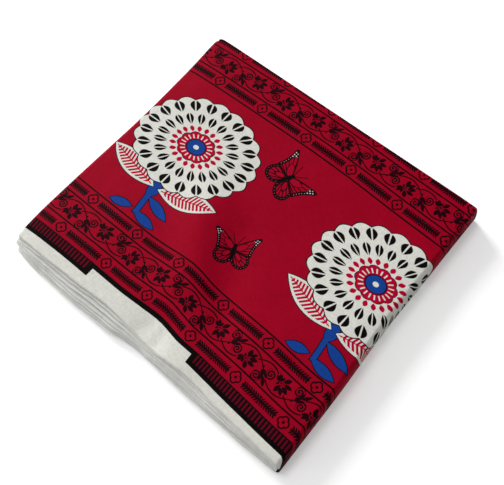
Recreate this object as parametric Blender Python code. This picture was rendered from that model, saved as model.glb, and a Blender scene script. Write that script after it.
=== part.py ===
# A length of printed cotton, six yards long and 47 inches wide, folded for the shelf.
# It is quartered across its width, then halved four times along its length, which makes
# sixteen panels of four layers. One strip of it wraps the whole bundle: over the top, round
# the big end fold, along the underside and in again between the small end folds.
# X runs along the cloth's length, Y from the selvedges at the front to the widthwise folds at
# the back, and Z up. The origin is on the floor, at the middle of the bundle's box.

import bpy
import numpy as np

# The folded bundle
HEIGHT = 0.0275            # floor to the top of the panel, at its middle
WALL = 0.0016              # the outer strip: four layers of 0.4 mm cloth
GAP = 0.0003               # between pieces that touch
BACK = 0.1593              # the widthwise fold of the top panel
LAYERS = 8                 # leaves between the top and the bottom strip, two strips each

# The outline of the top panel: (place along the edge, position of the edge)
FRONT_EDGE = ((-0.176, -0.1448), (-0.097, -0.1420), (-0.044, -0.1390), (-0.014, -0.1405),
              (0.014, -0.1427), (0.055, -0.1402), (0.103, -0.1433), (0.136, -0.1448),
              (0.177, -0.1465))
LEFT_EDGE = ((-0.146, -0.1738), (-0.060, -0.1735), (0.040, -0.1710), (0.110, -0.1728),
             (0.1593, -0.1765))
RIGHT_EDGE = ((-0.146, 0.1765), (-0.060, 0.1725), (0.010, 0.1675), (0.080, 0.1655),
              (0.1593, 0.1628))
# How far the selvedge of the bottom strip lies in front of the top one
BOTTOM_REACH = ((-0.176, 0.0060), (-0.090, 0.0105), (-0.010, 0.0050), (0.060, 0.0070),
                (0.177, 0.0030))

# The panel's soft form: how far it falls at each edge, and over what width
EDGE_FALLS = (("front", 0.0026, 0.024), ("back", 0.0012, 0.012),
              ("left", 0.0010, 0.016), ("right", 0.0008, 0.014))
# The largest soft troughs and ridges: middle, direction in degrees, half length, half width, rise
CREASES = (
    (0.004, -0.138, 82, 0.052, 0.022, -0.0026),
    (0.052, -0.128, 70, 0.040, 0.018, 0.0010),
    (-0.060, -0.040, 38, 0.110, 0.030, 0.0009),
    (0.030, 0.020, 48, 0.120, 0.026, -0.0011),
    (0.105, -0.060, 60, 0.080, 0.028, 0.0009),
    (0.120, 0.090, 25, 0.070, 0.024, -0.0008),
    (-0.110, 0.095, 12, 0.080, 0.022, 0.0008),
)

# The folds at the ends bulge by BULGE, along a superellipse of exponent ROUND
ROUND = 2.5
END_BULGE = 0.0050         # the big fold on the right, as high as the bundle
NOSE_CLEAR = 0.0005        # from the strip's inside to the layers in a fold
# The folds on the left: (first layer, last layer + 1, bulge, inset of the layers' fold)
LEFT_FOLDS = (
    (0, 2, 0.0035, WALL + NOSE_CLEAR),
    (2, 4, 0.0022, 0.0038),
    (4, 8, 0.0045, WALL + NOSE_CLEAR),
)
TUCK = 0.0145              # how far in from the left edge the strip's ends are tucked
SLOT = 0.118               # share of the layers' height that each tuck takes at the left edge
SLOT_SHUT = 0.015          # the same share past the tucks
SLOT_ENDS = (0.024, 0.038) # distances from the left edge between which a slot narrows

# The layers behind the front leaves, and how their folds round off at the back
CORE_FRONT = -0.1265
CORE_CLEAR = 0.0003        # more room over them, where the panel is gently curved
LOBE_DEPTH = 0.0012
LOBE_ROUND = 2.4
BACK_INSET = (0.0002, 0.0009, 0.0003, 0.0012, 0.0006, 0.0001, 0.0008, 0.0004)
CORNER = 0.0040            # radius of the bundle's upright corners
END_CLEAR = 0.0004         # more room at the ends of the front leaves

# Each front leaf is the selvedges of two strips: how far it reaches in front of the top
# strip's selvedge, at these places along the front
LEAF_PLACES = (-0.176, -0.150, -0.115, -0.075, -0.035, -0.008, 0.015, 0.055, 0.105, 0.140, 0.177)
LEAF_REACH = {
    "selvedge_leaf_1": (.0085, .0118, .0128, .0150, .0148, .0090, .0080, .0092, .0070, .0056, .0035),
    "selvedge_leaf_2": (.0105, .0140, .0152, .0160, .0160, .0108, .0086, .0110, .0082, .0068, .0050),
    "selvedge_leaf_3": (.0098, .0130, .0157, .0173, .0172, .0101, .0090, .0124, .0094, .0080, .0044),
    "selvedge_leaf_4": (.0092, .0116, .0136, .0158, .0150, .0094, .0080, .0108, .0084, .0072, .0040),
    "selvedge_leaf_5": (.0076, .0100, .0124, .0138, .0132, .0080, .0072, .0094, .0070, .0050, .0032),
    "selvedge_leaf_6": (.0070, .0086, .0098, .0118, .0108, .0068, .0060, .0072, .0064, .0046, .0026),
    "selvedge_leaf_7": (.0050, .0074, .0086, .0088, .0090, .0052, .0044, .0062, .0048, .0038, .0020),
    "selvedge_leaf_8": (.0056, .0062, .0064, .0070, .0060, .0036, .0030, .0040, .0034, .0030, .0014),
}
FAN_DROOP = 0.30           # slope at which the leaves sink in front of the panel
LEAF_TIP = 0.62            # thickness of a leaf's rim beside its root

# How finely the shapes are cut: shares of the length and of the width, closer at the edges
LENGTH_CUTS = (0, .022, .05, .085, .13, .19, .26, .34, .42, .5, .58, .66, .74, .82, .89, .95, 1)
WIDTH_CUTS = (0, .03, .065, .11, .17, .26, .36, .47, .58, .69, .79, .88, .95, 1)
LEAF_CUTS = (0, .3, .6, .84, 1)
UNDER_CUTS = 9             # along the strip's underside
NOSE_STEPS = 8

COLOURS = {
    "outer_strip": (0.36, 0.010, 0.030, 1.0),
    "inner_layers": (0.25, 0.008, 0.022, 1.0),
    "selvedge": (0.62, 0.63, 0.55, 1.0),
}


def along(rows, place):
    # A smooth curve through the rows (place, value): cubic pieces that share their slopes.
    at, value = np.array(rows, float).T
    place = np.clip(np.asarray(place, float), at[0], at[-1])
    k = np.clip(np.searchsorted(at, place, side="right") - 1, 0, len(at) - 2)
    slope = np.gradient(value, at)
    step = at[k + 1] - at[k]
    t = (place - at[k]) / step
    return ((2 * t**3 - 3 * t**2 + 1) * value[k] + (t**3 - 2 * t**2 + t) * step * slope[k]
            + (3 * t**2 - 2 * t**3) * value[k + 1] + (t**3 - t**2) * step * slope[k + 1])


def smooth(t):
    t = np.clip(t, 0.0, 1.0)
    return t * t * (3 - 2 * t)


def nose(share, bulge, power=ROUND):
    # Inset of a fold's rounded face at a share from -1 to 1 of its half height.
    return bulge * (1 - (1 - np.abs(share).clip(0, 1) ** power) ** (1 / power))


def top_height(x, y):
    # The top panel's outer face: flat, less a soft fall at each edge, plus the creases.
    front = along(FRONT_EDGE, x)
    y = np.maximum(y, front)
    away = {"front": y - front, "back": BACK - y, "left": x - along(LEFT_EDGE, y),
            "right": along(RIGHT_EDGE, y) - x}
    z = np.full(np.broadcast(x, y).shape, HEIGHT)
    for edge, depth, width in EDGE_FALLS:
        z = z - depth * np.exp(-(np.maximum(away[edge], 0) / width) ** 2)
    for cx, cy, turn, half_length, half_width, rise in CREASES:
        c, s = np.cos(np.radians(turn)), np.sin(np.radians(turn))
        run, side = (x - cx) * c + (y - cy) * s, (y - cy) * c - (x - cx) * s
        z = z + rise * np.exp(-(run / half_length) ** 2 - (side / half_width) ** 2)
    return z


def layer_height(x, y, share, slots):
    # Height at a share of the layers' thickness, from the bottom strip to the top one. Near the
    # left edge the slots below that place, 0 to 2, open and squeeze the layers.
    open_by = smooth((SLOT_ENDS[1] - (x - along(LEFT_EDGE, y))) / (SLOT_ENDS[1] - SLOT_ENDS[0]))
    slot = SLOT_SHUT + (SLOT - SLOT_SHUT) * open_by
    low = WALL + GAP
    high = top_height(x, y) - WALL - GAP - FAN_DROOP * np.maximum(along(FRONT_EDGE, x) - y, 0)
    return low + (share * (1 - 2 * slot) + slots * slot) * (high - low)


def fold_of(layer):
    # The left fold that holds a layer, as its number and row.
    for number, row in enumerate(LEFT_FOLDS):
        if row[0] <= layer < row[1]:
            return number, row
    raise ValueError(layer)


def left_inset(share, row):
    first, last, bulge, inset = row
    middle, half = (first + last) / 2, (last - first) / 2
    return inset + nose((share * LAYERS - middle) / half, bulge)


def right_inset(share):
    return WALL + NOSE_CLEAR + nose(2 * share - 1, END_BULGE)


def add_object(name, points, faces, colour, rough):
    mesh = bpy.data.meshes.new(name)
    mesh.from_pydata([tuple(p) for p in points], [], faces)
    mesh.validate()
    mesh.shade_smooth()
    mesh.set_sharp_from_angle(angle=np.radians(40))
    material = bpy.data.materials.get(colour) or bpy.data.materials.new(colour)
    material.use_nodes = True
    shader = material.node_tree.nodes["Principled BSDF"]
    shader.inputs["Base Color"].default_value = COLOURS[colour]
    shader.inputs["Roughness"].default_value = rough
    shader.inputs["Metallic"].default_value = 0.0
    mesh.materials.append(material)
    ob = bpy.data.objects.new(name, mesh)
    bpy.context.scene.collection.objects.link(ob)
    return ob


def outward(points, faces):
    # Turns the faces round if the closed shape they make is inside out.
    p = np.asarray(points, float)
    volume = 0.0
    for face in faces:
        a = p[face[0]]
        for i in range(1, len(face) - 1):
            volume += a @ np.cross(p[face[i]], p[face[i + 1]])
    return faces if volume > 0 else [tuple(reversed(f)) for f in faces]


def strip_row(x, side, share):
    # Y at a share of the strip's width, on its top (side 0), its bottom (1) or between.
    front = along(FRONT_EDGE, x) - side * along(BOTTOM_REACH, x)
    return front + share * (BACK - WALL / 2 - front)


def strip_path(share):
    # The middle line of the outer strip, at a share of its width from the front: the upper tuck,
    # the upper left fold, the top, the big end fold, the bottom, the lower left fold and the
    # lower tuck. Each point is X, Z and its side.
    half = WALL / 2
    left = along(LEFT_EDGE, strip_row(-0.17, 0.5, share)) + half
    right = along(RIGHT_EDGE, strip_row(0.17, 0.5, share)) - half
    turn = np.radians(np.linspace(0, 90, NOSE_STEPS + 1)[1:-1])
    rise, reach = np.sin(turn) ** (2 / ROUND), np.cos(turn) ** (2 / ROUND)
    upper, lower = LEFT_FOLDS[2][2], LEFT_FOLDS[0][2]
    x_upper, x_lower, x_end = left + upper, left + lower, right - END_BULGE
    x_tuck = left - half + TUCK
    path = []

    def fold(x, out, start, end):
        # Half a superellipse on its side, from one (height, side) to another.
        middle, half_tall = (start[0] + end[0]) / 2, (end[0] - start[0]) / 2
        heights = np.concatenate([-rise[::-1], [0], rise])
        outs = np.concatenate([reach[::-1], [1], reach])
        path.extend((x + out * r, middle + half_tall * h, side) for h, r, side
                    in zip(heights, outs, np.linspace(start[1], end[1], len(heights))))

    def slot_height(x, number, side):
        y = strip_row(x, side, share)
        return float(layer_height(x, y, LEFT_FOLDS[number][0] / LAYERS, number - 0.5))

    def top_middle(x):
        return float(top_height(x, strip_row(x, 0, share))) - half

    path += [(x, slot_height(x, 2, 0), 0) for x in (x_tuck, (x_tuck + x_upper) / 2, x_upper)]
    fold(x_upper, -upper, (slot_height(x_upper, 2, 0), 0), (top_middle(x_upper), 0))
    path += [(x, top_middle(x), 0) for x in x_upper + np.array(LENGTH_CUTS) * (x_end - x_upper)]
    fold(x_end, END_BULGE, (top_middle(x_end), 0), (half, 1))
    path += [(x, half, 1) for x in np.linspace(x_end, x_lower, UNDER_CUTS)]
    fold(x_lower, -lower, (half, 1), (slot_height(x_lower, 1, 1), 1))
    path += [(x, slot_height(x, 1, 1), 1) for x in (x_lower, (x_lower + x_tuck) / 2, x_tuck)]
    return np.array(path, float)


def outer_strip():
    # The wall round the bundle: loops across the strip's width, carried along its path. Its
    # back rim is the round fold where the cloth turns under.
    half = WALL / 2
    last = len(WIDTH_CUTS) - 1
    paths = np.stack([strip_path(share) for share in WIDTH_CUTS])    # row, step, (x, z, side)
    step = np.gradient(paths[:, :, :2], axis=1)
    step /= np.linalg.norm(step, axis=2, keepdims=True)
    normal = np.stack([-step[..., 1], step[..., 0]], axis=-1)
    x, z, side = np.moveaxis(paths, 2, 0)
    y = strip_row(x, side, np.array(WIDTH_CUTS)[:, None])
    rows = [(i, 1.0, 0.0) for i in range(last + 1)]
    rows += [(last, np.cos(a), half * np.sin(a)) for a in np.radians((35, 65, 90, 115, 145))]
    rows += [(i, -1.0, 0.0) for i in reversed(range(last + 1))]
    loop = len(rows)
    points = np.stack([
        np.stack([x[i] + normal[i, :, 0] * half * lift, y[i] + push,
                  z[i] + normal[i, :, 1] * half * lift], axis=-1)
        for i, lift, push in rows], axis=1)                          # step, row, xyz
    steps = len(points)
    faces = [(a * loop + b, a * loop + (b + 1) % loop, (a + 1) * loop + (b + 1) % loop,
              (a + 1) * loop + b) for a in range(steps - 1) for b in range(loop)]
    for end in (0, (steps - 1) * loop):
        caps = [(end + b, end + b + 1, end + loop - 2 - b, end + loop - 1 - b)
                for b in range(loop // 2 - 1)]
        caps.append((end + loop // 2 - 1, end + loop // 2, end + loop // 2 + 1))
        faces += caps if end else [tuple(reversed(f)) for f in caps]
    flat = points.reshape(-1, 3)
    flat[:, 2] = np.maximum(flat[:, 2], 0.0)
    return flat, outward(flat, faces)


def core_levels():
    # The rings of the inner layers, from the bottom up: share of the thickness, slots below,
    # inset at the left, inset at the back.
    rings = []
    for layer in range(LAYERS):
        number, row = fold_of(layer)
        if layer and layer == row[0]:
            share, below = layer / LAYERS, LEFT_FOLDS[number - 1]
            deep = 1.5 * LOBE_DEPTH
            rings += [(share, number - 1, left_inset(share, below), LOBE_DEPTH),
                      (share, number - 0.92, TUCK + 2 * NOSE_CLEAR, deep),
                      (share, number - 0.08, TUCK + 2 * NOSE_CLEAR, deep)]
        for part in (0.0, 0.2, 0.8):
            share = (layer + part) / LAYERS
            back = nose(2 * part - 1, LOBE_DEPTH, LOBE_ROUND) + BACK_INSET[layer] * (part > 0)
            rings.append((share, number, left_inset(share, row), back))
    rings.append((1.0, 2, left_inset(1.0, LEFT_FOLDS[2]), LOBE_DEPTH))
    return rings


def plan(u, v, inset_left, inset_right, inset_back):
    # A place in the rounded outline of the inner layers, for u and v from 0 to 1.
    y = CORE_FRONT + v * (BACK - inset_back - CORE_FRONT)
    left, right = along(LEFT_EDGE, y) + inset_left, along(RIGHT_EDGE, y) - inset_right
    x = left + u * (right - left)
    for side, edge in ((-1, left), (1, right)):
        dx = (x - edge) * side + CORNER
        dy = y - (BACK - inset_back) + CORNER
        both = (dx > 0) & (dy > 0)
        scale = np.where(both, np.maximum(dx, dy) / np.maximum(np.hypot(dx, dy), 1e-9), 1.0)
        x, y = x + side * dx * (scale - 1) * both, y + dy * (scale - 1) * both
    return x, y


def rim_of(nu, nv):
    # The cells round the edge of a grid, in order.
    return ([(i, 0) for i in range(nu)] + [(nu, j) for j in range(nv)]
            + [(i, nv) for i in range(nu, 0, -1)] + [(0, j) for j in range(nv, 0, -1)])


def inner_layers():
    # The hidden layers as one solid: rings round it, one above another, between two caps.
    cut_u, cut_v = np.array(LENGTH_CUTS, float), np.array(WIDTH_CUTS, float)
    nu, nv = len(cut_u) - 1, len(cut_v) - 1
    ring = rim_of(nu, nv)
    inner = [(i, j) for i in range(1, nu) for j in range(1, nv)]
    levels = core_levels()

    def level_points(level, cells):
        share, slots, in_left, in_back = levels[level]
        i, j = np.array(cells).T
        x, y = plan(cut_u[i], cut_v[j], in_left, right_inset(share), in_back)
        z = layer_height(x, y, share, slots) - CORE_CLEAR * share
        return np.stack([x, y, z], axis=-1)

    points = [level_points(level, ring) for level in range(len(levels))]
    faces, count, top = [], len(ring), len(levels) - 1
    for a in range(top):
        faces += [(a * count + b, a * count + (b + 1) % count, (a + 1) * count + (b + 1) % count,
                   (a + 1) * count + b) for b in range(count)]
    for level in (0, top):
        place = {cell: level * count + k for k, cell in enumerate(ring)}
        start = sum(len(part) for part in points)
        place.update({cell: start + k for k, cell in enumerate(inner)})
        points.append(level_points(level, inner))
        for i in range(nu):
            for j in range(nv):
                quad = (place[i, j], place[i + 1, j], place[i + 1, j + 1], place[i, j + 1])
                faces.append(quad if level else tuple(reversed(quad)))
    points = np.concatenate(points)
    return points, outward(points, faces)


def front_leaf(layer, reaches):
    # One selvedge leaf: two grids, over and under it, joined round their rims.
    nu, nv = len(LENGTH_CUTS) - 1, len(LEAF_CUTS) - 1
    number, row = fold_of(layer)
    u, v = np.meshgrid(LENGTH_CUTS, LEAF_CUTS, indexing="ij")
    root = CORE_FRONT - GAP
    left, right = along(LEFT_EDGE, root), along(RIGHT_EDGE, root)
    place = left + u * (right - left)
    tip = along(FRONT_EDGE, place) - along(tuple(zip(LEAF_PLACES, reaches)), place)
    y = root + v * (tip - root)
    sheets = []
    for share in (layer / LAYERS, (layer + 1) / LAYERS):
        start = along(LEFT_EDGE, y) + left_inset(share, row) + END_CLEAR
        end = along(RIGHT_EDGE, y) - right_inset(share) - END_CLEAR
        x = start + u * (end - start)
        sheets.append(np.stack([x, y, layer_height(x, y, share, number)], axis=-1))
    low, high = sheets
    middle, tall = (low + high) / 2, np.linalg.norm(high - low, axis=-1, keepdims=True)
    thin = (1 - (1 - LEAF_TIP) * smooth((v - 0.8) / 0.2)[..., None]) * (1 - GAP / tall)
    points = np.concatenate([(middle + (part - middle) * thin).reshape(-1, 3)
                             for part in (low, high)])
    size, across = (nu + 1) * (nv + 1), nv + 1
    faces = []
    for i in range(nu):
        for j in range(nv):
            quad = [a * across + b for a, b in ((i, j), (i + 1, j), (i + 1, j + 1), (i, j + 1))]
            faces.append(tuple(reversed(quad)))
            faces.append(tuple(size + k for k in quad))
    rim = [i * across + j for i, j in rim_of(nu, nv)]
    faces += [(a, b, size + b, size + a) for a, b in zip(rim, rim[1:] + rim[:1])]
    return points, outward(points, faces)


def main():
    for ob in list(bpy.data.objects):
        bpy.data.objects.remove(ob, do_unlink=True)
    shapes = {
        "outer_strip": (*outer_strip(), "outer_strip", 0.62),
        "inner_layers": (*inner_layers(), "inner_layers", 0.70),
    }
    for layer, (name, reaches) in enumerate(LEAF_REACH.items()):
        shapes[name] = (*front_leaf(layer, reaches), "selvedge", 0.75)
    # The origin stands at the middle of the whole box, on the floor.
    every = np.concatenate([np.asarray(shape[0], float) for shape in shapes.values()])
    low, high = every.min(axis=0), every.max(axis=0)
    shift = np.array([(low[0] + high[0]) / 2, (low[1] + high[1]) / 2, low[2]])
    for name, (points, faces, colour, rough) in shapes.items():
        add_object(name, np.asarray(points, float) - shift, faces, colour, rough)


main()
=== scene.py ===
import bpy
import math
import numpy as np
from mathutils import Matrix, Vector


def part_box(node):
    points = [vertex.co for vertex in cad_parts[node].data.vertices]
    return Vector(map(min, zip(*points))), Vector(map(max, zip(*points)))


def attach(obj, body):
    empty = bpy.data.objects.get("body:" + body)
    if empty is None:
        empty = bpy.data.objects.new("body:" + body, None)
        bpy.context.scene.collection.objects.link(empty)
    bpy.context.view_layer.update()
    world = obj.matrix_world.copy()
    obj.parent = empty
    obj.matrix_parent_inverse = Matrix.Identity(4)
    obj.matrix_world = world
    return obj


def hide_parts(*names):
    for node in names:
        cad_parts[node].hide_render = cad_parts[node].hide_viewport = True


# Six yards of printed cotton, folded flat. Lengths here are metres; the print is drawn in
# millimetres of cloth. X runs along the cloth, Y from the selvedges to the widthwise folds.

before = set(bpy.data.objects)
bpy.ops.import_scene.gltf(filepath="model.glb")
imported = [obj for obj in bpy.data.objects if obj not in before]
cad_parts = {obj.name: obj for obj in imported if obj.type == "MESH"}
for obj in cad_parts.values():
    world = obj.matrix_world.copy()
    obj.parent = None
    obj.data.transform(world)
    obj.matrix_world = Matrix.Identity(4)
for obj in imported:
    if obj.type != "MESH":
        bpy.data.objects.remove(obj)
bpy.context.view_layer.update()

# The folded bundle: the same sizes as its solids, before they are centred
bundle = {
    "height": 0.0275, "wall": 0.0016, "gap": 0.0003, "back": 0.1593, "rightMost": 0.1765,
    "frontEdge": ((-0.176, -0.1448), (-0.097, -0.1420), (-0.044, -0.1390), (-0.014, -0.1405),
                  (0.014, -0.1427), (0.055, -0.1402), (0.103, -0.1433), (0.136, -0.1448),
                  (0.177, -0.1465)),
    "leftEdge": ((-0.146, -0.1738), (-0.060, -0.1735), (0.040, -0.1710), (0.110, -0.1728),
                 (0.1593, -0.1765)),
    "rightEdge": ((-0.146, 0.1765), (-0.060, 0.1725), (0.010, 0.1675), (0.080, 0.1655),
                  (0.1593, 0.1628)),
    "bottomReach": ((-0.176, 0.0060), (-0.090, 0.0105), (-0.010, 0.0050), (0.060, 0.0070),
                    (0.177, 0.0030)),
    # how far the top falls at each edge, and over what width
    "edgeFalls": (("front", 0.0026, 0.024), ("back", 0.0012, 0.012),
                  ("left", 0.0010, 0.016), ("right", 0.0008, 0.014)),
    # the main soft troughs and ridges: middle, direction, half length, half width, rise
    "creases": ((0.004, -0.138, 82, 0.052, 0.022, -0.0026),
                (-0.019, -0.042, 121, 0.080, 0.027, 0.0052),
                (0.034, -0.060, 121, 0.070, 0.020, -0.0024),
                (-0.150, -0.060, 100, 0.060, 0.034, -0.0012),
                (0.052, -0.128, 70, 0.040, 0.018, 0.0010),
                (-0.060, -0.040, 38, 0.110, 0.030, 0.0009),
                (0.030, 0.020, 48, 0.120, 0.026, -0.0011),
                (0.105, -0.060, 60, 0.080, 0.028, 0.0009),
                (0.120, 0.090, 25, 0.070, 0.024, -0.0008),
                (-0.110, 0.095, 12, 0.080, 0.022, 0.0008)),
    # finer ones, of the cloth's top alone
    "ripples": ((0.018, -0.140, 96, 0.022, 0.0045, -0.0005),
                (0.006, -0.141, 78, 0.026, 0.0040, 0.0004),
                (-0.008, -0.140, 66, 0.024, 0.0050, -0.0004),
                (0.032, -0.138, 110, 0.020, 0.0055, 0.0003),
                (-0.090, -0.100, 20, 0.050, 0.012, 0.00025),
                (0.070, 0.050, -35, 0.060, 0.014, -0.0003),
                (-0.040, 0.110, 5, 0.070, 0.010, 0.00025),
                (0.148, -0.020, 84, 0.060, 0.008, 0.0003),
                (-0.150, 0.020, 95, 0.070, 0.009, -0.00025)),
    "round": 2.5, "endBulge": 0.0050, "noseClear": 0.0005, "layers": 8,
    # the folds on the left: first layer, last layer + 1, bulge, inset
    "leftFolds": ((0, 2, 0.0035, 0.0021), (2, 4, 0.0022, 0.0038), (4, 8, 0.0045, 0.0021)),
    "tuck": 0.0145, "slot": 0.118, "slotShut": 0.015, "slotEnds": (0.024, 0.038),
    "coreFront": -0.1265, "endClear": 0.0004, "fanDroop": 0.30,
    "panel": 0.343,  # length of cloth between two end folds
}
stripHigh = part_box("outer_strip")[1]
centreShift = np.array([bundle["rightMost"] - stripHigh[0], bundle["back"] - stripHigh[1], 0.0])


def along(rows, place):
    # A smooth curve through the rows (place, value): cubic pieces that share their slopes.
    at, value = np.array(rows, float).T
    place = np.clip(np.asarray(place, float), at[0], at[-1])
    k = np.clip(np.searchsorted(at, place, side="right") - 1, 0, len(at) - 2)
    slope, step = np.gradient(value, at), at[k + 1] - at[k]
    t = (place - at[k]) / step
    return ((2 * t**3 - 3 * t**2 + 1) * value[k] + (t**3 - 2 * t**2 + t) * step * slope[k]
            + (3 * t**2 - 2 * t**3) * value[k + 1] + (t**3 - t**2) * step * slope[k + 1])


def smooth(t):
    # Eases from 0 to 1: t^2 * (3 - 2 t), with t held between 0 and 1.
    t = np.clip(t, 0.0, 1.0)
    return t * t * (3 - 2 * t)


def nose(share, bulge, power=bundle["round"]):
    # Inset of a fold's round face: bulge * (1 - (1 - |share|^power)^(1/power)).
    return bulge * (1 - (1 - np.abs(share).clip(0, 1) ** power) ** (1 / power))


def softFolds(x, y, rows):
    # The sum of long soft humps: rise * exp(-(along/half length)^2 - (across/half width)^2).
    total = np.zeros(np.broadcast(x, y).shape)
    for cx, cy, turn, halfLength, halfWidth, rise in rows:
        c, s = math.cos(math.radians(turn)), math.sin(math.radians(turn))
        run, side = (x - cx) * c + (y - cy) * s, (y - cy) * c - (x - cx) * s
        total = total + rise * np.exp(-(run / halfLength) ** 2 - (side / halfWidth) ** 2)
    return total


def topHeight(x, y):
    # The top panel: its height, less a soft fall depth * exp(-(distance/width)^2) at each edge.
    front = along(bundle["frontEdge"], x)
    y = np.maximum(y, front)
    away = {"front": y - front, "back": bundle["back"] - y,
            "left": x - along(bundle["leftEdge"], y), "right": along(bundle["rightEdge"], y) - x}
    z = np.full(np.broadcast(x, y).shape, bundle["height"])
    for edge, depth, width in bundle["edgeFalls"]:
        z = z - depth * np.exp(-(np.maximum(away[edge], 0) / width) ** 2)
    return z + softFolds(x, y, bundle["creases"])


def layerHeight(x, y, share, slots):
    # Height at a share of the layers' thickness; the tucks' slots open near the left edge.
    near, far = bundle["slotEnds"]
    openBy = smooth((far - (x - along(bundle["leftEdge"], y))) / (far - near))
    slot = bundle["slotShut"] + (bundle["slot"] - bundle["slotShut"]) * openBy
    low = bundle["wall"] + bundle["gap"]
    droop = bundle["fanDroop"] * np.maximum(along(bundle["frontEdge"], x) - y, 0)
    high = topHeight(x, y) - low - droop
    return low + (share * (1 - 2 * slot) + slots * slot) * (high - low)


def stripRow(x, side, share):
    # Y at a share of the strip's width, on its top (side 0), its bottom (1) or between.
    front = along(bundle["frontEdge"], x) - side * along(bundle["bottomReach"], x)
    return front + share * (bundle["back"] - bundle["wall"] / 2 - front)


def roundCorner(x, y, cornerX, cornerY, sideX, sideY, radius):
    # Draws the square corner (sides -1 or 1 say which) in onto a quarter circle of the radius:
    # places beyond its centre keep their direction, and their distance becomes the greater reach.
    dx, dy = (x - cornerX) * sideX + radius, (y - cornerY) * sideY + radius
    both = (dx > 0) & (dy > 0)
    scale = np.where(both, np.maximum(dx, dy) / np.maximum(np.hypot(dx, dy), 1e-9), 1.0)
    return x + sideX * dx * (scale - 1) * both, y + sideY * dy * (scale - 1) * both


def closeUp(points, faces):
    # Turns the faces round if the closed shape they make is inside out: its volume is the sum
    # of a . (b x c + c x d) over its faces.
    a, b, c, d = (points[faces[:, k]] for k in range(4))
    volume = np.einsum("ij,ij->i", a, np.cross(b, c) + np.cross(c, d)).sum()
    return faces if volume > 0 else faces[:, ::-1]


def addObject(name, data):
    # A new object in the scene, at the origin and unturned.
    thing = bpy.data.objects.new(name, data)
    bpy.context.scene.collection.objects.link(thing)
    return thing


def addPiece(name, points, faces, uv, material, sharp=60):
    # A mesh from arrays: points (n, 3), four-sided faces (m, 4) and a UV per point, in metres.
    points = points.reshape(-1, 3) - centreShift
    faces = closeUp(points, faces)
    mesh = bpy.data.meshes.new(name)
    mesh.vertices.add(len(points))
    mesh.vertices.foreach_set("co", points.astype(np.float32).ravel())
    mesh.loops.add(faces.size)
    mesh.loops.foreach_set("vertex_index", faces.astype(np.int32).ravel())
    mesh.polygons.add(len(faces))
    mesh.polygons.foreach_set("loop_start", np.arange(0, faces.size, 4, dtype=np.int32))
    layer = mesh.uv_layers.new(name="cloth")
    layer.data.foreach_set("uv", uv.reshape(-1, 2)[faces.ravel()].astype(np.float32).ravel())
    mesh.update(calc_edges=True)
    mesh.validate()
    mesh.shade_smooth()
    mesh.set_sharp_from_angle(angle=math.radians(sharp))
    mesh.materials.append(material)
    piece = addObject(name, mesh)
    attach(piece, "root")
    return piece


def tubeFaces(steps, loop):
    # Faces between neighbouring loops: point b of loop a is number a * loop + b, and the last
    # point of a loop joins its first.
    a, b = np.meshgrid(np.arange(steps - 1), np.arange(loop), indexing="ij")
    c = (b + 1) % loop
    return np.stack([a * loop + b, a * loop + c, (a + 1) * loop + c, (a + 1) * loop + b],
                    axis=-1).reshape(-1, 4)


def endFaces(count, loop, strips):
    # Each end of a tube closed by strips between the first and the last points of its loop.
    b = np.arange(strips)
    strip = np.stack([b, b + 1, loop - 2 - b, loop - 1 - b], axis=-1)
    strip = strip[strip[:, 1] < strip[:, 2]]
    return np.concatenate([strip[:, ::-1], strip + (count - 1) * loop])


# How the print lies on the top panel. The rows (x, y) say where five of its lines run, each
# at so many millimetres across the cloth: the cloth isn't quite evenly stretched.
printLie = {
    "acrossAt": (9.8, 39.7, 80.9, 255.3, 289.8), "foldAt": 302.0,
    "lines": (
        ((-0.180, -0.1358), (-0.162, -0.1342), (-0.132, -0.1326), (-0.102, -0.1318), (-0.072, -0.1317),
         (-0.042, -0.1314), (-0.017, -0.1299), (0.003, -0.1289), (0.013, -0.1295), (0.028, -0.1317),
         (0.053, -0.1324), (0.078, -0.1339), (0.098, -0.1354), (0.128, -0.1371), (0.148, -0.1382),
         (0.177, -0.1392)),
        ((-0.180, -0.1043), (-0.132, -0.1032), (-0.102, -0.1024), (-0.072, -0.1019), (-0.042, -0.1013),
         (-0.022, -0.0999), (0.003, -0.0985), (0.018, -0.1008), (0.033, -0.1030), (0.048, -0.1032),
         (0.098, -0.1047), (0.148, -0.1076), (0.177, -0.1078)),
        ((-0.180, -0.0610), (-0.132, -0.0614), (-0.102, -0.0614), (-0.072, -0.0612), (-0.052, -0.0604),
         (-0.022, -0.0581), (-0.007, -0.0575), (0.003, -0.0583), (0.018, -0.0603), (0.048, -0.0614),
         (0.098, -0.0629), (0.128, -0.0649), (0.148, -0.0659), (0.177, -0.0652)),
        ((-0.178, 0.1139), (-0.134, 0.1154), (-0.076, 0.1165), (-0.018, 0.1173), (0.018, 0.1173),
         (0.041, 0.1168), (0.099, 0.1142), (0.158, 0.1123), (0.177, 0.1119)),
        ((-0.178, 0.1484), (-0.102, 0.1501), (-0.052, 0.1514), (-0.002, 0.1514), (0.048, 0.1501),
         (0.098, 0.1484), (0.177, 0.1464)),
    ),
    # how far the motifs stand to the right (mm), by millimetres across; and, near the
    # selvedge, by place along
    "rightBy": ((0, -0.9), (31, -0.9), (73, 1.5), (255, 3.8), (300, 4.2)),
    "nearBy": ((-0.178, -4.4), (-0.142, -3.2), (-0.110, -0.6), (-0.078, 2.4), (-0.048, 0.2), (-0.020, -1.6),
               (0.039, 0.0), (0.096, -0.7), (0.155, 0.0)),
    "nearFrom": (85.0, 190.0),
}


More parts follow.
